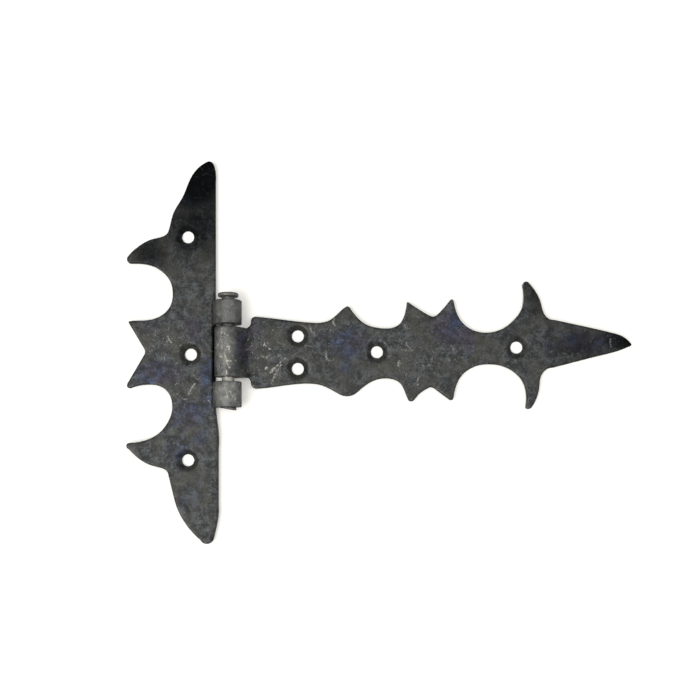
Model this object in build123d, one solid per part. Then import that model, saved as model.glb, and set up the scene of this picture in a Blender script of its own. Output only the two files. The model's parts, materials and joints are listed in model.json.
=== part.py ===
"""A forged black T-hinge: a thorned frame leaf, a long spear-pointed strap leaf and a loose riveted pin.

The origin is on the pin's axis, level with the frame leaf's middle screw. +Z runs up the pin, +X runs
along the strap to its tip, and -Y is the side that is seen. The flat backs of both leaves lie in one
plane at +Y.
"""

from build123d import *
import os
from math import acos, atan2, cos, degrees, radians, sin

# Driving dimensions, in millimetres.
PLATE_THICKNESS = 2.85  # both leaves come from the same sheet
PIN_DIAMETER = 5.3
PIN_CLEARANCE = 0.08  # radial, between the pin and every knuckle

STRAP_REACH = 167.2  # pin axis to the spear's point
FRAME_REACH = 43.0  # pin axis to the lowest horn
FRAME_TOP = 80.3  # heights of the frame leaf above and below the origin
FRAME_BOTTOM = 78.7

STRAP_KNUCKLE_TOP = 10.8  # above the origin
STRAP_KNUCKLE_LENGTH = 20.5
UPPER_KNUCKLE_LENGTH = 9.9
LOWER_KNUCKLE_LENGTH = 10.5
UPPER_GAP = 1.2  # between the strap's knuckle and its neighbours above and below
LOWER_GAP = 1.8
EDGE_GAP = 0.3  # between the strap's knuckle and the frame leaf's straight edge
FILED_WIDTH, FILED_DEPTH = 1.3, 1.6  # bevel filed on that edge so that the strap's knuckle turns clear
SHOULDER_GAP = 3.75  # between the barrel and the strap's shoulders
FRAME_LIP_REACH = 7.1  # pin axis to where the sheet's slope off the barrel lands on each leaf
STRAP_LIP_REACH = 8.6

LOWER_EDGE = 4.7  # pin axis to the frame leaf's edge below its relief
RELIEF_LENGTH = 17.0  # where the lower edge draws in towards the knuckle

SCREW_HOLE = 5.0  # for countersunk wood screws, no. 10
COUNTERSINK = 9.4  # across the mouth of a 90 degree sink

HEAD_DIAMETER = 8.5
HEAD_THICKNESS = 1.8
HEAD_FLOAT = 1.3  # the head stands this far clear of the upper knuckle
TAIL_DIAMETER = 6.9
TAIL_LENGTH = 1.3  # on its long side
TAIL_TILT = 9.0  # degrees, of the hammered end
TAIL_CLEARANCE = 0.1  # under the lower knuckle

KNUCKLE_ROUND = 0.3  # on the knuckles' outer rims
HEAD_ROUND = 0.7

# Worked out from the dimensions above.
BORE_RADIUS = PIN_DIAMETER / 2 + PIN_CLEARANCE
KNUCKLE_RADIUS = BORE_RADIUS + PLATE_THICKNESS
BACK_Y = KNUCKLE_RADIUS
FRONT_Y = BACK_Y - PLATE_THICKNESS
EDGE_X = KNUCKLE_RADIUS + EDGE_GAP
SHOULDER_X = KNUCKLE_RADIUS + SHOULDER_GAP
STRAP_KNUCKLE = (STRAP_KNUCKLE_TOP - STRAP_KNUCKLE_LENGTH, STRAP_KNUCKLE_TOP)
UPPER_KNUCKLE = (STRAP_KNUCKLE[1] + UPPER_GAP, STRAP_KNUCKLE[1] + UPPER_GAP + UPPER_KNUCKLE_LENGTH)
LOWER_KNUCKLE = (STRAP_KNUCKLE[0] - LOWER_GAP - LOWER_KNUCKLE_LENGTH, STRAP_KNUCKLE[0] - LOWER_GAP)


def outline(stretches):
    """A flat face in X and Z from stretches of points: 2 are a line, 3 an arc, and more a smooth curve."""
    makers = {2: Line, 3: ThreePointArc}
    edges = [makers.get(len(points), Spline)(*points) for points in stretches]
    return make_face(Curve() + edges)


def plate(stretches):
    """A leaf's flat part, with its back in the plane of both leaves' backs."""
    return extrude(Plane.XZ.offset(-BACK_Y) * outline(stretches), amount=PLATE_THICKNESS)


def screw_hole(point):
    """A hole through a leaf with its 90 degree sink open at the front."""
    depth = (COUNTERSINK - SCREW_HOLE) / 2
    shank = Cylinder(SCREW_HOLE / 2, 4 * PLATE_THICKNESS)
    sink = Cone(SCREW_HOLE / 2, COUNTERSINK / 2 + depth, 2 * depth)
    return Pos(point[0], FRONT_Y, point[1]) * Rot(90, 0, 0) * (shank + sink)


def roll(lip_reach, root_reach, span):
    """A knuckle of the frame leaf: sheet that goes once round the pin and lands on the plate's front.

    It leaves the circle at a tangent that lands lip_reach from the pin's axis.
    """
    lip = Vector(-lip_reach, FRONT_Y)
    leave = atan2(lip.Y, lip.X) + acos(KNUCKLE_RADIUS / lip.length)
    outward = Vector(cos(leave), sin(leave))
    outer, inner = outward * KNUCKLE_RADIUS, outward * BORE_RADIUS
    down = (lip - outer).normalized()
    landing = inner + down * ((FRONT_Y - inner.Y) / down.Y)
    turn = degrees(leave) - 90 - 360
    sides = [CenterArc((0, 0), radius, 90, turn) for radius in (KNUCKLE_RADIUS, BORE_RADIUS)]
    ends = [Line((0, BORE_RADIUS), (0, KNUCKLE_RADIUS)), Line(outer, inner)]
    curl = make_face(Curve() + sides + ends)
    end = make_face(Polyline(outer, lip, landing, inner, close=True))
    root = Pos(-root_reach / 2, (FRONT_Y + BACK_Y) / 2) * Rectangle(root_reach, PLATE_THICKNESS)
    solid = extrude(Pos(0, 0, span[0]) * (curl + end + root), amount=span[1] - span[0])
    rims = solid.edges().filter_by(lambda e: e.geom_type == GeomType.CIRCLE and e.radius > BORE_RADIUS)
    return fillet(rims, KNUCKLE_ROUND)


# The frame leaf. A point of its pattern is in hundredths of the reach, and of the height up or down.
def frame_point(across, up):
    return (-FRAME_REACH * across / 100, (FRAME_TOP if up > 0 else FRAME_BOTTOM) * up / 100)


def frame_points(*pattern):
    return [frame_point(across, up) for across, up in pattern]


FRAME_HOLES = frame_points((40.7, 61.2), (38.0, 0.2), (40.7, -55.8))


def frame_outline():
    """Blade, horn, round bite, fishtail, bite, horn and blade from top to bottom, then back up the edge."""
    upper_blade = frame_points(
        (23.0, 99.4), (30.0, 96.8), (36.5, 92.4), (41.0, 87.2), (45.0, 81.9),
        (51.0, 76.6), (54.5, 73.0), (57.2, 67.6), (59.8, 62.8),
    )
    upper_horn = frame_points(
        (59.8, 62.8), (66.0, 60.9), (75.0, 59.8), (84.0, 57.5), (93.0, 53.9), (98.0, 51.0),
    )
    upper_horn_tip = frame_points((98.0, 51.0), (99.3, 48.9), (96.5, 47.4))
    upper_bite = frame_points(
        (96.5, 47.4), (84.0, 47.2), (73.5, 45.8), (63.5, 42.2), (57.4, 38.0), (55.0, 32.0),
        (56.2, 26.6), (60.2, 22.9), (66.5, 20.1), (75.0, 18.3), (86.0, 17.7), (97.9, 17.4),
    )
    fishtail_top = frame_points((97.9, 17.4), (98.0, 16.9))
    fishtail_notch = frame_points((98.0, 16.9), (82.5, 3.0))
    notch = frame_points((82.5, 3.0), (81.5, 1.6), (82.0, 0.4))
    fishtail_under = frame_points((82.0, 0.4), (98.9, -15.4))
    fishtail_low_tip = frame_points((98.9, -15.4), (98.9, -17.3), (96.5, -17.7))
    lower_bite = frame_points(
        (96.5, -17.7), (90.0, -16.5), (81.0, -15.8), (71.0, -16.1), (63.0, -18.0), (57.8, -21.4),
        (55.6, -26.0), (56.3, -31.2), (60.3, -36.2), (66.0, -40.3), (74.0, -43.5), (83.0, -45.4),
        (97.0, -46.5),
    )
    lower_horn_tip = frame_points((97.0, -46.5), (100.0, -47.9), (97.5, -49.9))
    lower_horn = frame_points(
        (97.5, -49.9), (91.0, -53.5), (84.0, -56.4), (76.0, -58.5), (67.5, -59.7), (62.0, -60.8),
    )
    horn_root = frame_points((62.0, -60.8), (60.1, -61.9), (59.2, -63.6))
    lower_blade = frame_points(
        (59.2, -63.6), (56.8, -69.0), (54.8, -73.5), (51.6, -79.9), (45.1, -87.2), (36.7, -93.4),
        (28.0, -98.0),
    )
    lower_tip = frame_points((28.0, -98.0), (20.3, -100.0), (15.9, -97.8))
    lower_edge_end = (-LOWER_EDGE, -FRAME_BOTTOM * 0.8)
    lower_rise = [lower_tip[-1], *frame_points((13.8, -93.2), (11.6, -87.4)), lower_edge_end]
    lower_edge_start = (-LOWER_EDGE, LOWER_KNUCKLE[0] - RELIEF_LENGTH)
    relief = [
        lower_edge_start,
        (-LOWER_EDGE - 0.6, LOWER_KNUCKLE[0] - 0.3 * RELIEF_LENGTH),
        (-LOWER_EDGE - 1.0, LOWER_KNUCKLE[0] - 0.1 * RELIEF_LENGTH),
        (-EDGE_X, LOWER_KNUCKLE[0] + 1.0),
    ]
    upper_edge_end = (-EDGE_X, FRAME_TOP * 0.9)
    upper_tip_start = frame_point(15.2, 98.3)
    return [
        upper_blade,
        upper_horn,
        upper_horn_tip,
        upper_bite,
        fishtail_top,
        fishtail_notch,
        notch,
        fishtail_under,
        fishtail_low_tip,
        lower_bite,
        lower_horn_tip,
        lower_horn,
        horn_root,
        lower_blade,
        lower_tip,
        lower_rise,
        [lower_edge_end, lower_edge_start],
        relief,
        [relief[-1], upper_edge_end],
        [upper_edge_end, frame_point(13.9, 95.2), upper_tip_start],
        [upper_tip_start, frame_point(18.4, 100.0), upper_blade[0]],
    ]


def filed_bevel():
    """The wedge that is filed off the frame leaf's edge, as long as the space between its knuckles."""
    inner, over = -EDGE_X - FILED_WIDTH, 0.5
    slope = FILED_DEPTH / FILED_WIDTH
    wedge = Polyline(
        (inner, FRONT_Y),
        (inner - over, FRONT_Y - over * slope),
        (-EDGE_X + over, FRONT_Y - over * slope),
        (-EDGE_X + over, FRONT_Y + FILED_DEPTH + over * slope),
        close=True,
    )
    length = UPPER_KNUCKLE[0] - LOWER_KNUCKLE[1]
    return extrude(Pos(0, 0, LOWER_KNUCKLE[1]) * make_face(wedge), amount=length)


def frame_leaf():
    leaf = plate(frame_outline())
    leaf -= filed_bevel()
    for span in (UPPER_KNUCKLE, LOWER_KNUCKLE):
        leaf += roll(FRAME_LIP_REACH, FRAME_LIP_REACH + PLATE_THICKNESS, span)
    for point in FRAME_HOLES:
        leaf -= screw_hole(point)
    return leaf


# The strap leaf. A point of its pattern is in hundredths from the shoulder to the tip, and a height in mm.
def strap_point(along, up):
    return (SHOULDER_X + (STRAP_REACH - SHOULDER_X) * along / 100, up)


def strap_points(*pattern):
    return [strap_point(along, up) for along, up in pattern]


STRAP_HOLES = strap_points((12.0, 7.8), (12.0, -5.8), (32.9, 1.2), (69.8, 3.1))


def strap_outline():
    """The upper side from the neck to the tip, and the lower side back. The two sides differ."""
    neck_top, neck_bottom = STRAP_KNUCKLE[1] + 0.2, STRAP_KNUCKLE[0] + 0.7
    neck_x = KNUCKLE_RADIUS / 2
    upper_neck = [
        (neck_x, neck_top),
        (SHOULDER_X - 2.6, neck_top + 0.1),
        (SHOULDER_X - 1.2, neck_top + 0.7),
        (SHOULDER_X - 0.5, neck_top + 2.9),
    ]
    upper_corner = [upper_neck[-1], strap_point(0.1, 15.4), strap_point(1.2, 15.8)]
    upper_band = strap_points(
        (1.2, 15.8), (7.5, 14.7), (12.2, 13.8), (16.0, 13.3), (20.1, 14.1), (23.5, 18.5), (24.7, 20.0),
    )
    first_thorn = strap_points((24.7, 20.0), (25.2, 20.2), (25.7, 19.7))
    first_arch = strap_points(
        (25.7, 19.7), (27.4, 16.1), (30.3, 12.4), (33.5, 11.1), (36.3, 11.0), (38.4, 12.2),
        (40.0, 16.0), (40.8, 22.2),
    )
    second_thorn = strap_points((40.8, 22.2), (43.7, 19.1), (46.8, 16.2))
    crown_notch = strap_points((46.8, 16.2), (47.6, 15.8), (48.5, 16.2))
    third_thorn = strap_points((48.5, 16.2), (50.4, 19.3), (52.1, 22.6))
    third_tip = strap_points((52.1, 22.6), (52.7, 23.1), (53.1, 22.6))
    second_arch = strap_points(
        (53.1, 22.6), (53.8, 17.9), (55.0, 14.2), (57.0, 11.2), (60.4, 9.3),
        (63.6, 9.5), (66.4, 11.2), (68.9, 14.4), (70.7, 18.2), (71.5, 23.0), (71.3, 28.8),
    )
    upper_barb_tip = strap_points((71.3, 28.8), (71.8, 30.4), (73.0, 29.6))
    upper_barb = strap_points(
        (73.0, 29.6), (75.0, 25.4), (76.1, 21.4), (76.7, 17.8), (77.6, 15.6), (79.6, 14.5),
    )
    upper_spear = strap_points((79.6, 14.5), (86.0, 12.3), (92.0, 10.2), (96.3, 8.5))
    upper_point = strap_points((96.3, 8.5), (98.4, 6.8), (99.8, 4.6))
    point = strap_points((99.8, 4.6), (100.0, 4.0), (99.5, 3.5))
    lower_spear = strap_points((99.5, 3.5), (96.5, 1.6), (91.6, -0.4), (84.4, -3.3), (79.5, -5.3))
    lower_barb = strap_points(
        (79.5, -5.3), (77.0, -6.9), (76.0, -9.5), (75.7, -13.5), (75.0, -18.0), (73.8, -21.6),
    )
    lower_barb_tip = strap_points((73.8, -21.6), (73.0, -22.6), (72.1, -21.9))
    lower_arch = strap_points(
        (72.1, -21.9), (72.3, -16.5), (71.3, -10.9), (68.8, -6.8), (65.9, -4.6), (62.6, -3.9),
        (59.7, -4.4), (57.2, -6.1), (55.2, -8.8), (53.8, -12.9), (53.1, -18.3),
    )
    lower_third_tip = strap_points((53.1, -18.3), (52.6, -18.9), (51.9, -18.5))
    lower_crown = strap_points((51.9, -18.5), (50.0, -16.3), (48.1, -14.0))
    lower_notch = strap_points((48.1, -14.0), (47.2, -13.5), (46.2, -14.1))
    lower_crown_back = strap_points((46.2, -14.1), (44.4, -15.9), (42.8, -18.7))
    lower_second_tip = strap_points((42.8, -18.7), (41.9, -19.4), (41.2, -18.8))
    lower_first_arch = strap_points(
        (41.2, -18.8), (40.2, -14.9), (39.0, -11.7), (37.0, -10.1), (34.9, -9.8), (32.9, -10.3),
        (30.6, -12.0), (27.8, -15.5),
    )
    lower_thorn = strap_points((27.8, -15.5), (25.6, -17.2), (23.4, -16.7))
    lower_band = strap_points(
        (23.4, -16.7), (20.6, -14.3), (18.3, -12.7), (15.5, -12.0), (12.2, -12.1), (7.0, -13.1),
        (1.2, -14.1),
    )
    lower_neck = [
        (SHOULDER_X - 0.5, neck_bottom - 2.8),
        (SHOULDER_X - 1.0, neck_bottom - 1.2),
        (SHOULDER_X - 2.1, neck_bottom - 0.2),
        (neck_x, neck_bottom),
    ]
    lower_corner = [lower_band[-1], strap_point(0.1, -13.5), lower_neck[0]]
    return [
        upper_neck,
        upper_corner,
        upper_band,
        first_thorn,
        first_arch,
        second_thorn,
        crown_notch,
        third_thorn,
        third_tip,
        second_arch,
        upper_barb_tip,
        upper_barb,
        upper_spear,
        upper_point,
        point,
        lower_spear,
        lower_barb,
        lower_barb_tip,
        lower_arch,
        lower_third_tip,
        lower_crown,
        lower_notch,
        lower_crown_back,
        lower_second_tip,
        lower_first_arch,
        lower_thorn,
        lower_band,
        lower_corner,
        lower_neck,
        [lower_neck[-1], upper_neck[0]],
    ]


def strap_leaf():
    leaf = plate(strap_outline())
    leaf += mirror(roll(STRAP_LIP_REACH, SHOULDER_X - 1.2, STRAP_KNUCKLE), about=Plane.YZ)
    for point in STRAP_HOLES:
        leaf -= screw_hole(point)
    return leaf


def hinge_pin():
    """A round pin with a flat forged head, its tail spread and left askew by the riveting hammer."""
    head_z = UPPER_KNUCKLE[1] + HEAD_FLOAT
    tail_z = LOWER_KNUCKLE[0] - TAIL_CLEARANCE
    stand = (Align.CENTER, Align.CENTER, Align.MIN)
    shank = Pos(0, 0, tail_z) * Cylinder(PIN_DIAMETER / 2, head_z - tail_z, align=stand)
    head = Cylinder(HEAD_DIAMETER / 2, HEAD_THICKNESS, align=stand)
    head = Pos(0, 0, head_z) * fillet(head.edges().filter_by(GeomType.CIRCLE), HEAD_ROUND)
    tail = Pos(0, 0, tail_z - TAIL_LENGTH) * Cylinder(TAIL_DIAMETER / 2, TAIL_LENGTH, align=stand)
    tilt = radians(TAIL_TILT)
    hammered = Plane(
        origin=(TAIL_DIAMETER / 2, 0, tail_z - TAIL_LENGTH),
        z_dir=(sin(tilt), 0, cos(tilt)),
    )
    return shank + head + split(tail, bisect_by=hammered, keep=Keep.TOP)


NODES = {"frame_leaf": frame_leaf, "strap_leaf": strap_leaf, "hinge_pin": hinge_pin}

os.makedirs("parts", exist_ok=True)
for name, make in NODES.items():
    export_step(make(), f"parts/{name}.step")
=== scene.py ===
# %% [markdown]
# # A forged black T-hinge
#
# The hinge is three pieces of steel: a frame leaf with two rolled knuckles, a long strap leaf with one,
# and a loose pin. The CAD model holds their sizes and how they turn. This script gives them their skin:
# hammer marks, soft forged edges, and the uneven black of hot steel quenched in oil.

import json
import math

import bmesh
import bpy
import numpy as np
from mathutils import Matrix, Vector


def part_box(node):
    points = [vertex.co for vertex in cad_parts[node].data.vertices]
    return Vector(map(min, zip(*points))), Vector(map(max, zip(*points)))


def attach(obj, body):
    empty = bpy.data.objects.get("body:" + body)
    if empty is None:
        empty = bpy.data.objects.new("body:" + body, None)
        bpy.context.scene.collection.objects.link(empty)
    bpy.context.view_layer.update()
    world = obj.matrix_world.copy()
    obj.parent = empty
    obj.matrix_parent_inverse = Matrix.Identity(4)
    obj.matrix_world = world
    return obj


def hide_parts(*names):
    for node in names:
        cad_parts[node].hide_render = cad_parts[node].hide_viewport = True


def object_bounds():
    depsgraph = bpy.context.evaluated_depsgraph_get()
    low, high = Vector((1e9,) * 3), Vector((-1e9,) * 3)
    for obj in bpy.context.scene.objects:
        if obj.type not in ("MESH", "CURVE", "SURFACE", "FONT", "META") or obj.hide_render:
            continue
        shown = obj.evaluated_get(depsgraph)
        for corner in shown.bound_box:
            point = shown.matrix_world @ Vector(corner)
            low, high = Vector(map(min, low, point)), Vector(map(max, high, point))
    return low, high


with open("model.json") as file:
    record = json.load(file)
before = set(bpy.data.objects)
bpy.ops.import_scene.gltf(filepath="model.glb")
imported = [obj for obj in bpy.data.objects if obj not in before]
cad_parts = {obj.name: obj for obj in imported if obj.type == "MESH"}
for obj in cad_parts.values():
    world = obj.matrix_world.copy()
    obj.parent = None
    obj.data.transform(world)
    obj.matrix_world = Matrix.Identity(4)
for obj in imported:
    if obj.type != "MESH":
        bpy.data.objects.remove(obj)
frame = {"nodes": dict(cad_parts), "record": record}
cad_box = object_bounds()

MM = 0.001
leaf_low, leaf_high = (np.array(corner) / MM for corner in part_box("frame_leaf"))
strap_low, strap_high = (np.array(corner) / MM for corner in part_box("strap_leaf"))
pin_low, pin_high = (np.array(corner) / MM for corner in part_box("hinge_pin"))
SHEET = 2.85  # thickness of both leaves
BACK = leaf_high[1]  # the plane of both backs, which is also the radius of a knuckle
FRONT = BACK - SHEET
print("CAD box in mm:", [[round(c / MM, 1) for c in corner] for corner in cad_box])
for part, low, high in (
    ("frame leaf", leaf_low, leaf_high),
    ("strap leaf", strap_low, strap_high),
    ("pin", pin_low, pin_high),
):
    print(part, "in mm:", np.round(high - low, 2))

# %% [markdown]
# ## The leaves' meshes
#
# A CAD plate is a few large flat faces, so there is nothing in it for a hammer to dent. The leaf could be
# drawn again as a grid, but its outline, sinks and rolled knuckles are right already. So a copy of the CAD
# mesh is merged to one closed skin and cut into even squares, small enough for every mark that follows.

# %% Even squares
SQUARE = 0.36  # side of a square in mm: finer than any mark, and under 200,000 triangles a leaf


def points_of(mesh):
    """A mesh's points as an array of rows, in mm."""
    flat = np.empty(len(mesh.vertices) * 3)
    mesh.vertices.foreach_get("co", flat)
    return flat.reshape(-1, 3) / MM


def set_points(mesh, points):
    mesh.vertices.foreach_set("co", (points * MM).ravel())
    mesh.update()


def normals_of(mesh):
    flat = np.empty(len(mesh.vertices) * 3)
    mesh.vertex_normals.foreach_get("vector", flat)
    return flat.reshape(-1, 3)


def even_squares(node, name):
    """A new piece with the CAD node's shape, its skin merged and remeshed to squares of one size."""
    skin = bmesh.new()
    skin.from_mesh(frame["nodes"][node].data)
    bmesh.ops.remove_doubles(skin, verts=skin.verts, dist=1e-6)
    bmesh.ops.recalc_face_normals(skin, faces=skin.faces)
    rough = bpy.data.meshes.new(name + "_rough")
    skin.to_mesh(rough)
    skin.free()
    piece = bpy.data.objects.new(name, rough)
    bpy.context.scene.collection.objects.link(piece)
    remesh = piece.modifiers.new("even squares", "REMESH")
    remesh.mode = "VOXEL"
    remesh.voxel_size = SQUARE * MM
    whole = piece.evaluated_get(bpy.context.evaluated_depsgraph_get())
    mesh = bpy.data.meshes.new_from_object(whole)
    piece.modifiers.clear()
    piece.data = mesh
    bpy.data.meshes.remove(rough)
    mesh.name = name
    mesh.materials.clear()
    mesh.polygons.foreach_set("use_smooth", np.ones(len(mesh.polygons), bool))
    print(name, len(mesh.polygons), "squares")
    return piece


frame_piece = even_squares("frame_leaf", "hammered_frame_leaf")
strap_piece = even_squares("strap_leaf", "hammered_strap_leaf")

# %% [markdown]
# ## Soft edges
#
# The outline was cut from sheet and then hammered over at the front, so its front edges are round and its
# back edges are still sharp. A bevel would need clean edges. Relaxing the skin is simpler: each pass moves
# a point part of the way to the mean of its neighbours, which leaves flat parts alone and rounds corners.

# %% Relax the front
EDGE_PASSES = 9  # each spreads a corner a little further over the squares beside it
BARREL_SHARE = 0.03  # the knuckles keep crisper rims
BARREL_STANDS = 0.3  # mm in front of the leaf: all that is further forward is barrel
ROUND_DEPTH = (1.1, 1.9)  # mm behind the front: full rounding to the first, none past the second
HOLE_RADIUS, SINK_DEPTH = 2.5, 2.2  # of every screw hole, in mm
WALL_REACH = 0.4  # points this near to a hole's wall are drawn to it
WALL_DEPTH = (SINK_DEPTH - 0.1, SHEET - 0.15)  # how far the straight wall runs behind the front
BORE = 2.73  # radius of the knuckles' bores
SLOPE_PASSES = 150
# The strap's slope off its knuckle, in mm. Each pair is where the relaxing fades in, or out.
SLOPE_START, SLOPE_END = (2.8, 5.5), (12.0, 15.0)  # along X
SLOPE_BOTTOM, SLOPE_TOP = (-9.2, -7.8), (9.0, 10.4)  # along Z
SLOPE_DEPTH = (0.6, 1.4)  # behind the front
BORE_MARGIN = 0.6  # sheet round the bore that keeps its shape
CREASE_DEPTH, CREASE_REACH = 2.2, 5.3  # the crease behind the barrel keeps its shape too


def smooth_step(value, low, high):
    """0 below low, 1 above high, and a smooth S between them: 3t^2 - 2t^3."""
    t = np.clip((value - low) / (high - low), 0, 1)
    return t * t * (3 - 2 * t)


def relax(mesh, points, weight, passes):
    """Each pass: point = point + weight / 2 x (mean of its neighbours - point)."""
    edges = np.empty(len(mesh.edges) * 2, np.int64)
    mesh.edges.foreach_get("vertices", edges)
    first, second = edges.reshape(-1, 2).T
    ends, others = np.r_[first, second], np.r_[second, first]
    count = np.bincount(ends, minlength=len(points))
    for _ in range(passes):
        mean = [np.bincount(ends, points[others, k], len(points)) / count for k in range(3)]
        points = points + weight[:, None] / 2 * (np.stack(mean, 1) - points)
    return points


def blend_slope(mesh, points):
    """Relaxes only where the strap's sheet slopes off the barrel, so that it curves into the flat."""
    x, y, z = points.T
    region = smooth_step(x, *SLOPE_START) * (1 - smooth_step(x, *SLOPE_END))
    region *= smooth_step(z, *SLOPE_BOTTOM) * (1 - smooth_step(z, *SLOPE_TOP))
    region *= 1 - smooth_step(y, FRONT + SLOPE_DEPTH[0], FRONT + SLOPE_DEPTH[1])
    crease = (y > FRONT - CREASE_DEPTH) & (x < CREASE_REACH)
    region *= (np.hypot(x, y) > BORE + BORE_MARGIN) & ~crease
    return relax(mesh, points, region, SLOPE_PASSES)


NEAREST = 0.1  # mm, so that nothing is divided by 0


def true_holes(points, centres):
    """Straightens the narrow end of each screw hole: distance from its axis = HOLE_RADIUS."""
    for centre in centres:
        away = points[:, (0, 2)] - centre
        reach = np.hypot(*away.T)
        depth = points[:, 1] - FRONT
        wall = (reach < HOLE_RADIUS + WALL_REACH) & (depth > WALL_DEPTH[0]) & (depth < WALL_DEPTH[1])
        scale = np.where(wall, HOLE_RADIUS / np.maximum(reach, NEAREST), 1)
        points[:, 0] = centre[0] + away[:, 0] * scale
        points[:, 2] = centre[1] + away[:, 1] * scale
    return points


def soften_edges(piece, centres):
    """Rounds the front edges, and then mends what the relaxing did to the slope and the holes."""
    points = points_of(piece.data)
    depth = points[:, 1] - FRONT
    weight = 1 - smooth_step(depth, *ROUND_DEPTH)
    weight *= np.where(depth < -BARREL_STANDS, BARREL_SHARE, 1)
    points = relax(piece.data, points, weight, EDGE_PASSES)
    if piece is strap_piece:
        points = blend_slope(piece.data, points)
    set_points(piece.data, true_holes(points, centres))


mounts = {mount["name"]: mount for mount in frame["record"]["mounts"]}


def mount_at(name, up=0.0):
    """A mount's x and z in mm; up steps along Z from a pair's middle to one of its holes."""
    x, _, z = mounts[name]["pos_m"]
    return np.array([x / MM, z / MM + up])


frame_half = mounts["frame_outer_screws"]["dims"]["spacing_y_mm"] / 2
strap_half = mounts["strap_root_screws"]["dims"]["spacing_y_mm"] / 2
frame_holes = [mount_at("frame_middle_screw")]
frame_holes += [mount_at("frame_outer_screws", up) for up in (frame_half, -frame_half)]
strap_holes = [mount_at("strap_middle_screw"), mount_at("strap_tip_screw")]
strap_holes += [mount_at("strap_root_screws", up) for up in (strap_half, -strap_half)]
soften_edges(frame_piece, frame_holes)
soften_edges(strap_piece, strap_holes)
print("front edges rounded,", len(frame_holes) + len(strap_holes), "screw holes trued")

# %% [markdown]
# ## Hammer marks
#
# The smith went over the front with a round-faced hammer, one light blow about every 4 mm. Each blow left a
# shallow dish, and where two meet there is a soft ridge. A bump map would show that only in the light, so
# the dishes are pressed into the mesh itself, always inwards, and the leaf never grows past its CAD size.

# %% Press the dents
BLOW_SPACING = 4.3  # mm from one blow to the next
BLOW_DEPTH = 0.20  # mm at the middle of the hardest blow
BARREL_BLOW_DEPTH = 0.05
BARREL_SPACING = 0.6 * BLOW_SPACING  # the barrel took lighter, closer blows
FLAT_FADE = (0.6, 0.1)  # mm in front of the leaf: no dents to the first, full dents past the second
SKIN_INSIDE, SKIN_OUTSIDE = (0.5, 0.2), (0.3, 0.8)  # mm from the barrel's radius, where its dents fade
BARREL_FADE = 1.5  # mm over which they start, in front of the leaf


def blows(across, up, spacing, depth, seed):
    """One dish in each square of a grid, off its middle; the deepest at a point counts.

    A dish is depth x (1 - (distance / radius)^2), with its own radius, depth and place.
    """
    table = np.random.default_rng(seed).random((4, 64, 64))
    column, row = (np.floor(value / spacing).astype(int) for value in (across, up))
    deepest = np.zeros_like(across)
    for right in (-1, 0, 1):
        for above in (-1, 0, 1):
            i, j = column + right, row + above
            aside, higher, wide, hard = table[:, i % 64, j % 64]
            away = np.hypot(across - (i + aside) * spacing, up - (j + higher) * spacing)
            radius = spacing * (0.55 + 0.35 * wide)
            deepest = np.maximum(deepest, depth * (0.3 + 0.7 * hard) * (1 - (away / radius) ** 2))
    return deepest


def hammer(piece, seed):
    """Dents the flat front straight back, and the barrel towards the pin."""
    points, normals = points_of(piece.data), normals_of(piece.data)
    x, y, z = points.T
    facing = np.clip(-normals[:, 1], 0, 1) ** 2
    flat = facing * smooth_step(y, FRONT - FLAT_FADE[0], FRONT - FLAT_FADE[1])
    y_new = y + flat * blows(x, z, BLOW_SPACING, BLOW_DEPTH, seed)
    reach = np.hypot(x, y)
    barrel = smooth_step(reach, BACK - SKIN_INSIDE[0], BACK - SKIN_INSIDE[1])
    barrel *= 1 - smooth_step(reach, BACK + SKIN_OUTSIDE[0], BACK + SKIN_OUTSIDE[1])
    barrel *= smooth_step(-y, -FRONT, -FRONT + BARREL_FADE)
    round_it = np.arctan2(x, -y) * BACK
    dent = barrel * blows(round_it, z, BARREL_SPACING, BARREL_BLOW_DEPTH, seed + 1)
    shrink = 1 - dent / np.maximum(reach, 1)
    points[:, 0] = x * shrink
    points[:, 1] = np.where(barrel > 0, y * shrink, y_new)
    set_points(piece.data, points)
    print(piece.name, "deepest dent", round(float((y_new - y).max()), 3), "mm")


hammer(frame_piece, 11)
hammer(strap_piece, 23)

# %% [markdown]
# ## The pin
#
# The pin is round bar with a forged head like a thick coin. Its other end was spread over with a hammer, a
# little askew. It is a lathe form: one profile of radius and height, carried round the axis, with the last
# rings tipped so that the end is oblique.

# %% The pin's rings
PIN_RADIUS = 2.6  # a hair under the bore
HEAD_RADIUS, HEAD_THICK, HEAD_ROUND = 4.25, 1.8, 0.75
TAIL_RADIUS, TAIL_LONG, TAIL_ROUND = 3.4, 1.3, 0.3
TAIL_TILT = math.radians(9)  # of the hammered end
NECK_SPREAD = 0.15  # the shank is this much wider where it meets the head
SHANK_RINGS, TURN_STEPS = 120, 72
HEAD_DENT, HEAD_BLOW_SPACING = 0.12, 2.2  # mm
HEAD_ASIDE = 40  # mm, which picks other blows from the table than the leaves use


def rounded(radius, low, high, bend, steps=7):
    """The rim of a disc as quarter circles at its top and bottom edges: rows of radius and height."""
    turn = np.linspace(0, np.pi / 2, steps)
    upper = np.c_[radius - bend + bend * np.sin(turn), high - bend + bend * np.cos(turn)]
    lower = np.c_[radius - bend + bend * np.cos(turn), low + bend - bend * np.sin(turn)]
    return np.r_[upper, lower]


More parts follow.
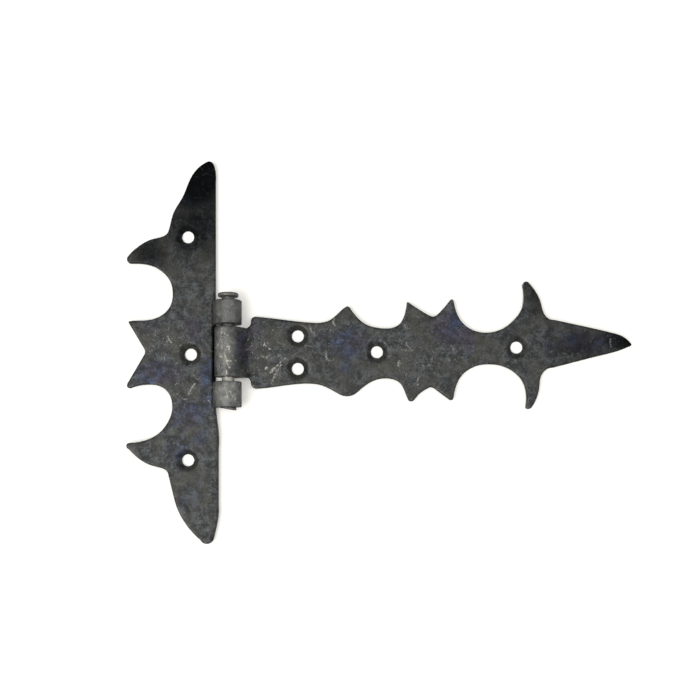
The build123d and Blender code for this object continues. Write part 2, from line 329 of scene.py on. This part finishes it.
def pin_profile():
    """Head, neck, shank and spread tail from top to bottom."""
    top, bottom = pin_high[2], pin_low[2]
    head = rounded(HEAD_RADIUS, top - HEAD_THICK, top, HEAD_ROUND)
    shank_top, tail_top = top - HEAD_THICK, bottom + TAIL_LONG
    heights = np.linspace(shank_top - 0.1, tail_top + 0.1, SHANK_RINGS)
    shank = np.c_[np.full(SHANK_RINGS, PIN_RADIUS), heights]
    tail = rounded(TAIL_RADIUS, bottom, tail_top, TAIL_ROUND)
    crown = [[0, top], [1.6, top], [2.8, top]]
    neck = [[PIN_RADIUS + NECK_SPREAD, shank_top]]
    end = [[1.5, bottom], [0, bottom]]
    return np.r_[crown, head, neck, shank, tail, end]


def lathe(name, profile, turns):
    """Carries the profile round Z: x = r cos a, y = r sin a, z = height. Poles are single points."""
    angle = np.linspace(0, 2 * np.pi, turns, endpoint=False)
    rings = profile[1:-1]
    radius, height = rings[:, :1], rings[:, 1:]
    x, y = radius * np.cos(angle), radius * np.sin(angle)
    grid = np.stack([x, y, np.broadcast_to(height, x.shape)], -1).reshape(-1, 3)
    poles = np.array([[0, 0, profile[0, 1]], [0, 0, profile[-1, 1]]])
    ring, step = np.meshgrid(np.arange(len(rings) - 1), np.arange(turns), indexing="ij")
    after = (step + 1) % turns
    quads = np.stack([ring * turns + step, (ring + 1) * turns + step, (ring + 1) * turns + after,
                      ring * turns + after], -1).reshape(-1, 4)
    around = np.arange(turns)
    last = (len(rings) - 1) * turns
    top = np.stack([np.full(turns, len(grid)), around, (around + 1) % turns], -1)
    bottom = np.stack([np.full(turns, len(grid) + 1), last + (around + 1) % turns, last + around], -1)
    mesh = bpy.data.meshes.new(name)
    mesh.from_pydata((np.r_[grid, poles] * MM).tolist(), [], quads.tolist() + top.tolist() + bottom.tolist())
    mesh.polygons.foreach_set("use_smooth", np.ones(len(mesh.polygons), bool))
    piece = bpy.data.objects.new(name, mesh)
    bpy.context.scene.collection.objects.link(piece)
    return piece


pin_piece = lathe("riveted_pin", pin_profile(), TURN_STEPS)
points = points_of(pin_piece.data)
tail_top = pin_low[2] + TAIL_LONG
low = np.clip((tail_top - points[:, 2]) / TAIL_LONG, 0, 1)
points[:, 2] += low * np.clip((TAIL_RADIUS - points[:, 0]) * math.tan(TAIL_TILT), 0, 0.9 * TAIL_LONG)
crown = smooth_step(points[:, 2], pin_high[2] - HEAD_THICK, pin_high[2])
dents = blows(points[:, 0] + HEAD_ASIDE, points[:, 1], HEAD_BLOW_SPACING, 1, 5)
points[:, 2] -= crown * HEAD_DENT * dents
set_points(pin_piece.data, points)
print("pin", len(pin_piece.data.polygons), "faces")

for piece, node, body in (
    (frame_piece, "frame_leaf", "frame"),
    (strap_piece, "strap_leaf", "strap"),
    (pin_piece, "hinge_pin", "pin"),
):
    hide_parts(node)
    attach(piece, body)

# %% [markdown]
# ## Where the finish changes
#
# The leaf was blackened in oil, and heat left blue and violet patches. Handling then rubbed the barrel and
# the middle of the strap. Those places are part of the piece, so they are kept as attributes of its points,
# and so is the painted shade on the upper blade, beside the strap's knuckle and on the knuckles' flat ends:
# soft ellipses for the patches and the shade, and short bowed lines for the deepest scratches and the
# shaded strip.

# %% Patches and scratches
# Each patch is x, z, half width, half height in mm, and strength.
TEMPER = [
    (-29.3, -7.8, 8.5, 5.0, 1.5), (-14.9, 12.0, 4.5, 4.5, 0.8), (-14.0, 7.5, 4.0, 3.0, 0.7),
    (-9.2, -8.0, 3.5, 8.0, 0.9), (-17.0, -25.0, 8.5, 7.0, 0.8), (-33.0, 10.4, 4.5, 3.5, 0.5),
    (6.3, 2.5, 4.0, 10.0, 0.8), (10.5, 10.5, 4.5, 4.0, 0.6), (49.4, 4.5, 9.0, 8.0, 0.9),
    (48.3, -6.0, 5.5, 4.5, 0.6), (77.5, 5.5, 5.0, 5.0, 0.4), (93.0, 10.6, 7.5, 6.0, 1.8),
    (99.0, 4.5, 3.5, 5.0, 0.9), (147.5, 4.8, 12.0, 5.0, 1.0), (134.0, 2.5, 4.5, 3.5, 0.6),
    (125.0, 20.0, 3.0, 5.0, 0.4), (-17.6, 66.0, 8.0, 8.0, 0.5), (-15.0, -60.0, 8.0, 10.0, 0.4),
    (-12.0, -35.0, 6.0, 6.0, 0.6), (-20.0, -40.0, 9.0, 7.0, 0.5), (-9.0, -18.0, 4.0, 8.0, 0.7),
    (40.0, 8.0, 9.0, 5.0, 0.4), (106.0, -5.0, 7.0, 5.0, 0.3), (152.0, 1.0, 7.0, 3.0, 0.5),
]
# Painted shade and dark patches, each x, z, half width, half height and strength like a patch. The first
# three darken the upper blade where less light falls, and the last is a thin band of painted shade along the
# strap's upper edge. The others darken the spear, its barb and its tip.
SHADE_AND_DARK_PATCHES = [
    (-13.0, 80.0, 16.0, 28.0, 1.3), (-14.0, 54.0, 18.0, 16.0, 0.85), (-33.0, 42.0, 10.0, 8.0, 0.8),
    (166.0, 6.0, 14.0, 8.0, 1.0), (128.0, 25.0, 7.0, 11.0, 0.65), (147.0, 4.0, 18.0, 10.0, 0.6),
    (118.0, 12.0, 10.0, 8.0, 0.25), (22.0, 14.0, 30.0, 2.0, 0.3),
]
# Painted shade: the strip beside the strap's knuckle, where the barrel shades it, is painted black. Its row
# is like a scratch's, and a strength over 1 makes the black solid across most of its width.
SHADE_BESIDE_KNUCKLE = [(-5.7, -11.5, -5.7, 12.0, 0.0, 1.6)]
SHADE_BESIDE_KNUCKLE_WIDTH, SCRATCH_WIDTH = 2.2, 0.48  # mm to each side of the middle
# Rubbing lightens the whole barrel; wear adds specks and hair lines of bare steel.
RUB = [
    (-1.5, 0.5, 4.6, 14.0, 0.62), (0.0, -17.0, 8.5, 8.0, 0.8), (0.0, 17.0, 9.0, 8.0, 0.45),
]
WEAR = [
    (-1.5, -1.0, 3.5, 11.0, 2.6), (0.0, -17.0, 7.0, 6.0, 2.8), (0.0, 14.0, 7.0, 4.0, 0.6),
    (-28.0, 3.0, 11.0, 10.0, 0.5), (-17.0, -14.0, 8.0, 8.0, 0.4), (18.0, -6.0, 10.0, 8.0, 0.7),
    (14.0, 3.0, 8.0, 9.0, 0.6), (40.0, 6.0, 10.0, 10.0, 0.35), (72.0, 0.0, 10.0, 14.0, 0.35),
    (90.0, -3.0, 12.0, 12.0, 0.2), (130.0, 0.0, 16.0, 8.0, 0.1), (158.0, 4.0, 4.0, 4.0, 0.3),
]
# Each scratch is x, z at its two ends, its bow sideways, and strength.
SCRATCHES = [
    (-14.1, -12.0, -17.0, -16.7, 0.3, 0.7), (-0.9, 0.2, 1.4, -6.5, 0.2, 1.0),
    (-1.8, 9.9, -1.6, 0.2, 0.3, 0.7), (-25.5, 7.9, -23.8, 4.9, 0.5, 0.8),
    (13.0, -0.2, 16.8, -0.2, 0.9, 0.6), (20.7, -4.4, 16.8, -7.8, 0.5, 0.8),
    (23.7, -1.3, 17.4, -7.6, 0.4, 0.9), (21.9, -3.9, 17.6, -12.4, 0.5, 0.8),
    (43.6, 15.1, 43.8, 12.0, 0.6, 1.0), (33.2, 12.5, 35.6, 7.7, 0.4, 0.7),
    (40.4, 0.8, 42.0, -2.9, 0.9, 0.8), (70.5, -2.4, 70.0, -5.0, 0.2, 0.9),
    (71.4, 1.9, 76.9, 1.8, 0.1, 0.5), (79.0, -9.2, 78.5, -12.9, 0.6, 0.6),
    (158.2, 6.5, 158.5, 3.0, 0.3, 0.6), (1.5, -15.5, 3.8, -18.5, 0.5, 0.8),
    (-4.5, -14.0, -3.6, -17.0, 0.4, 0.6),
]


def ellipses(x, z, patches):
    """The strongest of several soft ellipses: strength x exp(-((dx / a)^2 + (dz / b)^2))."""
    total = np.zeros_like(x)
    for centre_x, centre_z, half_x, half_z, strength in patches:
        away = ((x - centre_x) / half_x) ** 2 + ((z - centre_z) / half_z) ** 2
        total = np.maximum(total, strength * np.exp(-away))
    return total


def bowed_lines(x, z, lines, width):
    """A line from end to end that bows as a parabola; strength falls to 0 at width from its middle."""
    total = np.zeros_like(x)
    for start_x, start_z, end_x, end_z, bow, strength in lines:
        run_x, run_z = end_x - start_x, end_z - start_z
        length = math.hypot(run_x, run_z)
        along = ((x - start_x) * run_x + (z - start_z) * run_z) / length**2
        aside = ((x - start_x) * run_z - (z - start_z) * run_x) / length
        inside = (along > 0) & (along < 1)
        away = np.abs(aside - bow * 4 * along * (1 - along))
        total = np.maximum(total, inside * strength * np.clip(1 - away / width, 0, 1))
    return total


def keep_attribute(piece, name, values):
    layer = piece.data.attributes.new(name, "FLOAT", "POINT")
    layer.data.foreach_set("value", values.astype(np.float32))


for leaf in (frame_piece, strap_piece):
    x, y, z = points_of(leaf.data).T
    shade_beside_knuckle = np.clip(bowed_lines(x, z, SHADE_BESIDE_KNUCKLE, SHADE_BESIDE_KNUCKLE_WIDTH), 0, 1)
    shade_and_dark_patches = np.maximum(ellipses(x, z, SHADE_AND_DARK_PATCHES), shade_beside_knuckle)
    # Painted shade: the flat ends of the knuckles, in the gaps where shade falls, are painted black as well,
    # but the barrel's front is not.
    level = np.abs(normals_of(leaf.data)[:, 2]) > 0.6
    ends = level & (np.hypot(x, y) < BACK + 0.2) & (y < FRONT)
    # Scratches lie on the front only; the rubbing fades out where the barrel meets the leaf.
    front_only = smooth_step(-y, -FRONT - 1.2, -FRONT - 0.4)
    barrel_only = smooth_step(-y, -FRONT, 0.5)
    keep_attribute(leaf, "temper", ellipses(x, z, TEMPER))
    keep_attribute(leaf, "shade_and_dark_patches", np.maximum(shade_and_dark_patches * (y > -1), ends))
    keep_attribute(leaf, "wear", ellipses(x, z, WEAR))
    keep_attribute(leaf, "rub", ellipses(x, z, RUB) * barrel_only)
    keep_attribute(leaf, "scratch", front_only * bowed_lines(x, z, SCRATCHES, SCRATCH_WIDTH))
print("patches and scratches stored")

# %% [markdown]
# ## Materials
#
# Every finish here is steel. What changes is its skin: a thin black oxide that hides the metal, or bare
# metal where the skin is rubbed off. One function adds a node, and one turns a colour from the hex value
# that a painter would pick to the linear value that a shader needs. A noise runs from about 0.3 to 0.7, so
# each band below picks the part of that run which shows.

# %% Helpers for materials
def hex_colour(code):
    """sRGB hex to linear RGBA: c / 12.92 below 0.04045, else ((c + 0.055) / 1.055)^2.4."""
    channels = np.array([int(code[i : i + 2], 16) for i in (0, 2, 4)]) / 255
    linear = np.where(channels <= 0.04045, channels / 12.92, ((channels + 0.055) / 1.055) ** 2.4)
    return (*linear.tolist(), 1.0)


def add(tree, kind, inputs=None, **settings):
    """Adds a node. Settings are its own; inputs gives a socket a value, or another node's socket."""
    node = tree.nodes.new("ShaderNode" + kind)
    for name, value in settings.items():
        setattr(node, name, value)
    for socket, value in (inputs or {}).items():
        if isinstance(value, bpy.types.NodeSocket):
            tree.links.new(value, node.inputs[socket])
        else:
            node.inputs[socket].default_value = value
    return node


def blank(name):
    """A material with only its output node."""
    material = bpy.data.materials.new(name)
    material.use_nodes = True
    material.node_tree.nodes.clear()
    return material, material.node_tree, add(material.node_tree, "OutputMaterial")


PER_MM = 1 / MM  # a texture scale for one cell a millimetre


# %% [markdown]
# ### Oil-blackened forged steel
#
# Black oxide is thin and slightly porous: dark, between satin and dull, and never one colour. Its mottle is
# half 3 mm blots and half 1 mm grain, over broad olive and grey clouds, with blue where the heat ran
# further. Rubbed grains show bare steel. The oxide half hides the metal, so the skin is only part metallic.

# %% Oil-blackened forged steel
OXIDE_DARK, OXIDE_LIGHT = hex_colour("0b0d0f"), hex_colour("424546")
OXIDE_OLIVE = hex_colour("34332b")
OXIDE_RUBBED = hex_colour("8a8a86")
BLUE_DARK, BLUE_LIGHT = hex_colour("090e1a"), hex_colour("2a3854")
VIOLET_DARK, VIOLET_LIGHT = hex_colour("17151e"), hex_colour("37323f")
SHADE_AND_PATCH_BLACK = hex_colour("07080a")
BARE_STEEL, RUSTED_STEEL = hex_colour("bcbab4"), hex_colour("b3aa92")
METAL_SHARE = 0.35
BLOTS, GRAIN, CLOUDS, TINTS = 3.2, 0.9, 9.0, 14.0  # mm across
SPECKS, SPECK_PATCHES = 0.5, 3.0  # mm across
HAIR_NET, HAIR_BEND, HAIR_PATCHES = 5.5, 6.0, 2.2  # mm across
HAIR_SHIFT = 0.004  # share of the bent place that is mixed in
HAIR_WIDTH = 0.035  # share of a cell of the net
PORES, PORE_HEIGHT = 0.8, 0.02  # mm


def blackened_steel(name, wear_floor):
    """Oxide, clouds, heat colours, then painted shade and dark patches, then rubbing, specks, hair lines and
    scratches.
    """
    material, tree, output = blank(name)
    place = add(tree, "TexCoord").outputs["Object"]

    def noise(size_mm, detail, rough=0.5, warp=0.0):
        inputs = {"Vector": place, "Scale": PER_MM / size_mm, "Detail": detail, "Roughness": rough,
                  "Distortion": warp}
        return add(tree, "TexNoise", inputs).outputs["Fac"]

    def band(value, low, high, to_low=0.0, to_high=1.0):
        inputs = {"Value": value, "From Min": low, "From Max": high, "To Min": to_low, "To Max": to_high}
        return add(tree, "MapRange", inputs, interpolation_type="SMOOTHSTEP").outputs["Result"]

    def combine(kind, first, second):
        """The kind is the arithmetic: ADD, MULTIPLY or MAXIMUM."""
        return add(tree, "Math", {0: first, 1: second}, operation=kind).outputs["Value"]

    def mix(amount, first, second):
        inputs = {"Factor": amount, 6: first, 7: second}
        return add(tree, "Mix", inputs, data_type="RGBA").outputs[2]

    def stored(attribute):
        return add(tree, "Attribute", attribute_name=attribute).outputs["Fac"]

    blots = combine("MULTIPLY", noise(BLOTS, 5, 0.6), 0.5)
    grain = combine("MULTIPLY", noise(GRAIN, 5, 0.7), 0.5)
    mottle = combine("ADD", blots, grain)
    cloud = noise(CLOUDS, 4, 0.6)
    tint = noise(TINTS, 3, 0.55, 0.4)
    shade = band(mottle, 0.43, 0.6)
    colour = mix(shade, OXIDE_DARK, OXIDE_LIGHT)
    colour = mix(combine("MULTIPLY", band(cloud, 0.42, 0.62), 0.6), colour, OXIDE_OLIVE)
    ragged = combine("MULTIPLY", noise(3.0, 5, 0.65, 0.5), 1.2)
    heat = band(combine("ADD", stored("temper"), ragged), 0.75, 1.45)
    violet = mix(shade, VIOLET_DARK, VIOLET_LIGHT)
    blue = mix(shade, BLUE_DARK, BLUE_LIGHT)
    colour = mix(heat, colour, mix(band(tint, 0.4, 0.6), violet, blue))
    # Painted shade and dark patches: near black wherever that attribute is set.
    colour = mix(stored("shade_and_dark_patches"), colour, SHADE_AND_PATCH_BLACK)

    rubbed = combine("MULTIPLY", stored("rub"), band(noise(2.2, 4, 0.6), 0.25, 0.7, 0.35, 1.0))
    colour = mix(rubbed, colour, OXIDE_RUBBED)

    wear = combine("ADD", stored("wear"), wear_floor)
    specks = band(noise(SPECKS, 3, 0.75), 0.59, 0.68)
    specks = combine("MULTIPLY", specks, combine("MULTIPLY", wear, band(noise(SPECK_PATCHES, 3), 0.4, 0.6)))
    bend = {"Vector": place, "Scale": PER_MM / HAIR_BEND, "Detail": 1.0}
    bent = add(tree, "TexNoise", bend).outputs["Color"]
    bent = add(tree, "Mix", {"Factor": HAIR_SHIFT, 4: place, 5: bent}, data_type="VECTOR").outputs[1]
    net = {"Vector": bent, "Scale": PER_MM / HAIR_NET}
    net = add(tree, "TexVoronoi", net, feature="DISTANCE_TO_EDGE")
    hairs = band(net.outputs["Distance"], 0.0, HAIR_WIDTH, 1.0, 0.0)
    hairs = combine("MULTIPLY", hairs, band(noise(HAIR_PATCHES, 2), 0.56, 0.66))
    hairs = combine("MULTIPLY", hairs, wear)
    scratch = combine("MULTIPLY", stored("scratch"), band(noise(0.7, 3), 0.44, 0.6, 0.1, 0.85))
    bare_steel_and_highlight = combine("MAXIMUM", combine("MAXIMUM", specks, hairs), scratch)
    rust = combine("MULTIPLY", band(tint, 0.45, 0.55), stored("rub"))
    colour = mix(bare_steel_and_highlight, colour, mix(rust, BARE_STEEL, RUSTED_STEEL))

    rough = band(mottle, 0.3, 0.7, 0.5, 0.4)
    pores = {"Strength": 0.5, "Distance": PORE_HEIGHT * MM, "Height": noise(PORES, 4, 0.6)}
    pores = add(tree, "Bump", pores)
    finish = add(tree, "BsdfPrincipled", {
        "Base Color": colour,
        "Metallic": METAL_SHARE,
        "Roughness": rough,
        "Normal": pores.outputs["Normal"],
        # Where shade is painted, and in the dark patches, the skin hardly shines.
        "Specular IOR Level": band(stored("shade_and_dark_patches"), 0.0, 1.0, 0.5, 0.03),  # soot hardly shines
    })
    tree.links.new(finish.outputs["BSDF"], output.inputs["Surface"])
    return material


WEAR_FLOOR = 0.05  # the wear that every part of a leaf has
leaf_steel = blackened_steel("oil_blackened_forged_steel", WEAR_FLOOR)
for leaf in (frame_piece, strap_piece):
    leaf.data.materials.append(leaf_steel)
print("made", leaf_steel.name, len(leaf_steel.node_tree.nodes), "nodes")

# %% [markdown]
# ### Drawn steel for the pin
#
# The pin is plain drawn bar. Its head is a worn grey, lighter than the leaves' black. Between the lower
# knuckles, where the light from below falls, a band of the shank is painted bright: a painted highlight.

# %% Dark drawn steel
PIN_OXIDE_DARK, PIN_OXIDE_LIGHT = hex_colour("3c3d3c"), hex_colour("7a7a75")
# Painted highlight: the band of the shank in the lower gap, where the light from below falls, is painted
# bright.
PIN_HIGHLIGHT = hex_colour("b8b5ac")
HIGHLIGHT_TOP, HIGHLIGHT_BOTTOM = (-8.0, -10.5), (-12.0, -13.0)  # mm of height, where the bare band fades
HIGHLIGHT_SHARE = 0.85


def pin_steel(name):
    """Mottled oxide, with one band on the shank painted bright as a painted highlight."""
    material, tree, output = blank(name)

    def fade(value, none, full):
        inputs = {"Value": value, "From Min": none * MM, "From Max": full * MM}
        return add(tree, "MapRange", inputs, interpolation_type="SMOOTHSTEP").outputs["Result"]

    place = add(tree, "TexCoord").outputs["Object"]
    height = add(tree, "SeparateXYZ", {"Vector": place}).outputs["Z"]
    inputs = {"Vector": place, "Scale": PER_MM / 0.9, "Detail": 4.0}
    mottle = add(tree, "TexNoise", inputs).outputs["Fac"]
    below = fade(height, HIGHLIGHT_TOP[0], HIGHLIGHT_TOP[1])
    above = fade(height, HIGHLIGHT_BOTTOM[1], HIGHLIGHT_BOTTOM[0])
    bare_steel_and_highlight = add(tree, "Math", {0: below, 1: above}, operation="MULTIPLY").outputs["Value"]
    bare_steel_and_highlight = add(tree, "Math", {0: bare_steel_and_highlight, 1: HIGHLIGHT_SHARE}, operation="MULTIPLY").outputs["Value"]
    oxide = {"Factor": mottle, 6: PIN_OXIDE_DARK, 7: PIN_OXIDE_LIGHT}
    oxide = add(tree, "Mix", oxide, data_type="RGBA").outputs[2]
    colour = {"Factor": bare_steel_and_highlight, 6: oxide, 7: PIN_HIGHLIGHT}
    colour = add(tree, "Mix", colour, data_type="RGBA").outputs[2]
    finish = add(tree, "BsdfPrincipled", {"Base Color": colour, "Metallic": 0.5, "Roughness": 0.42})
    tree.links.new(finish.outputs["BSDF"], output.inputs["Surface"])
    return material


pin_piece.data.materials.append(pin_steel("dark_drawn_steel"))

# %% [markdown]
# ## Stage, light and camera
#
# The hinge hangs flat against a white board, as it would lie on a table seen from above. The board shows
# its soft shadows. It has one side only, so that the hinge's back can be seen through it from behind. A
# pale floor lies below. A wide, soft window lights the hinge from the lower left. A softbox in front evens
# it out, a faint lamp fills in from the right, and one behind lights the backs.

# %% Board and floor
BOARD_GAP = 0.15  # mm behind the backs
# Metres from the origin:
BOARD_SIDE, BOARD_LOW, BOARD_HIGH = 1.5, -1.2, 1.5
FLOOR_SIDE, FLOOR_DROP = 3.0, 0.30
BOARD_GLOW = 0.24  # a little light of its own keeps the board white


def sheet_of(name, corners):
    """One flat face for the stage, from its four corners in metres."""
    mesh = bpy.data.meshes.new(name)
    mesh.from_pydata(corners, [], [(0, 1, 2, 3)])
    thing = bpy.data.objects.new(name, mesh)
    bpy.context.scene.collection.objects.link(thing)
    return thing


board_y = (BACK + BOARD_GAP) * MM
board = sheet_of("board", [
    (-BOARD_SIDE, board_y, BOARD_LOW),
    (BOARD_SIDE, board_y, BOARD_LOW),
    (BOARD_SIDE, board_y, BOARD_HIGH),
    (-BOARD_SIDE, board_y, BOARD_HIGH),
])
floor = sheet_of("floor", [
    (-FLOOR_SIDE, -FLOOR_SIDE, -FLOOR_DROP),
    (FLOOR_SIDE, -FLOOR_SIDE, -FLOOR_DROP),
    (FLOOR_SIDE, FLOOR_SIDE, -FLOOR_DROP),
    (-FLOOR_SIDE, FLOOR_SIDE, -FLOOR_DROP),
])

board_paint, tree, output = blank("matt_white_board")
paint = add(tree, "BsdfDiffuse", {"Color": hex_colour("ebe9e4")}).outputs["BSDF"]
glow = add(tree, "Emission", {"Color": hex_colour("f8f7f3"), "Strength": BOARD_GLOW}).outputs["Emission"]
paint = add(tree, "AddShader", {0: paint, 1: glow}).outputs["Shader"]
clear = add(tree, "BsdfTransparent").outputs["BSDF"]
side = add(tree, "NewGeometry").outputs["Backfacing"]
one_sided = add(tree, "MixShader", {0: side, 1: paint, 2: clear})
tree.links.new(one_sided.outputs["Shader"], output.inputs["Surface"])
board.data.materials.append(board_paint)

floor_paint, tree, output = blank("pale_floor")
glow = add(tree, "Emission", {"Color": hex_colour("f4f3f0"), "Strength": 0.95})
tree.links.new(glow.outputs["Emission"], output.inputs["Surface"])
floor.data.materials.append(floor_paint)

for thing in (board, floor):
    thing.visible_shadow = False
    thing.visible_diffuse = False
    thing.visible_glossy = False

# %% Lights and world
MIDDLE = (cad_box[0] + cad_box[1]) / 2
WINDOW_WHITE = (1.0, 0.985, 0.96)  # a trace warm
SKY_LIGHT, SKY_SEEN = 0.55, 1.0  # strength as a light, and where the camera sees it


def lamp(name, kind, place, power, **settings):
    """A light that looks from its place, in metres, at the middle of the hinge."""
    data = bpy.data.lights.new(name, kind)
    data.energy = power
    for setting, value in settings.items():
        setattr(data, setting, value)
    light = bpy.data.objects.new(name, data)
    light.location = place
    light.rotation_euler = (MIDDLE - light.location).to_track_quat("-Z", "Y").to_euler()
    light.visible_camera = False
    bpy.context.scene.collection.objects.link(light)


lamp("window", "SUN", (-0.35, -0.80, -0.36), 1.6, angle=math.radians(38), color=WINDOW_WHITE)
lamp("softbox", "AREA", (0.02, -0.50, 0.05), 1.0, shape="RECTANGLE", size=0.9, size_y=0.3)
lamp("right fill", "SUN", (0.80, -0.55, 0.0), 0.32, angle=math.radians(40))
lamp("rear lamp", "SUN", (-0.25, 0.80, 0.45), 1.6, angle=math.radians(30))

scene = bpy.context.scene
scene.view_settings.view_transform = "Standard"
world = bpy.data.worlds.new("studio")
scene.world = world
world.use_nodes = True
world.node_tree.nodes.clear()
sky = add(world.node_tree, "OutputWorld")
seen_directly = add(world.node_tree, "LightPath").outputs["Is Camera Ray"]
dim = add(world.node_tree, "Background", {"Color": hex_colour("ffffff"), "Strength": SKY_LIGHT}).outputs[0]
pale = add(world.node_tree, "Background", {"Color": hex_colour("f7f6f4"), "Strength": SKY_SEEN}).outputs[0]
both = add(world.node_tree, "MixShader", {0: seen_directly, 1: dim, 2: pale})
world.node_tree.links.new(both.outputs["Shader"], sky.inputs["Surface"])

# %% Camera
# It looks straight at the board from below the middle, and its lens is shifted up to frame the hinge. The
# shifts are shares of the picture's width, and the lens and its sensor are in mm.
CAMERA_PLACE = (0.0534, -0.3473, -0.0388)  # metres
lens = bpy.data.cameras.new("camera")
lens.lens = 43.4
lens.sensor_width = 36.0
lens.shift_x = -0.0114
lens.shift_y = 0.14
lens.clip_start, lens.clip_end = 0.01, 20
camera = bpy.data.objects.new("camera", lens)
camera.location = CAMERA_PLACE
camera.rotation_euler = (math.pi / 2, 0, 0)
scene.collection.objects.link(camera)
scene.camera = camera
